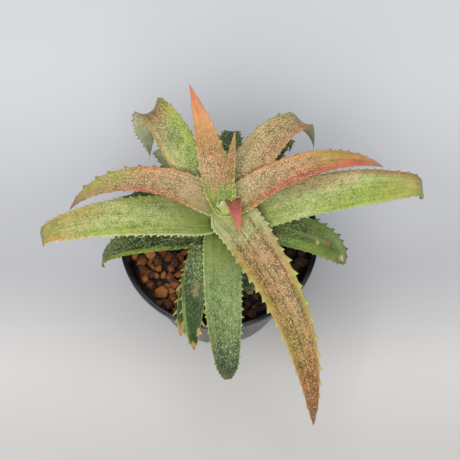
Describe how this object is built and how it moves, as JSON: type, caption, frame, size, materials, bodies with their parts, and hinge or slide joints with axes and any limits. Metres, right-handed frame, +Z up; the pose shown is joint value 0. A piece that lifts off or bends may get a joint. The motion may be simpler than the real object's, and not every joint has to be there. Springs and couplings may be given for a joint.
{
  "type": "potted orthophytum",
  "caption": "Potted bromeliad: a loose rosette of toothed strap leaves on a short stem, in a black plastic pot of clay granules.",
  "frame": {"origin": "centre of the pot's flat base, where it stands on a surface", "axes": "+Z up along the pot's axis, +Y towards the back of the plant, +X to its right, seen from the front"},
  "size_m": [0.2236, 0.1818, 0.1619],
  "materials": {
    "pot": "smooth black moulded plastic, glossy",
    "substrate": "matt porous fired clay granules",
    "stem": "fibrous short stem, dull",
    "leaf_green": "stiff fleshy leaf, light green under a silvery down",
    "leaf_orange": "stiff fleshy leaf, orange-brown under a silvery down",
    "leaf_red": "stiff young leaf, crimson",
    "leaf_dark": "stiff old leaf, dark green with pale scales"
  },
  "bodies": {
    "root": {"pot": "pot", "substrate": "substrate", "stem": "stem", "leaf_left_green": "leaf_green", "leaf_right_green": "leaf_green", "leaf_front_green": "leaf_green", "leaf_back_left": "leaf_green", "leaf_left_orange": "leaf_orange", "leaf_right_orange": "leaf_orange", "leaf_front_long": "leaf_orange", "leaf_back_right": "leaf_orange", "leaf_heart_tall": "leaf_orange", "leaf_heart_spike": "leaf_orange", "leaf_heart_red": "leaf_red", "leaf_back_dark": "leaf_dark", "leaf_right_dark": "leaf_dark", "leaf_back_dark_right": "leaf_dark", "leaf_left_dark": "leaf_dark", "leaf_front_dark": "leaf_dark", "leaf_back_dark_left": "leaf_dark", "leaf_side_dark_left": "leaf_dark", "leaf_front_dark_low": "leaf_dark", "leaf_front_dark_small": "leaf_dark"}
  },
  "joints": []
}
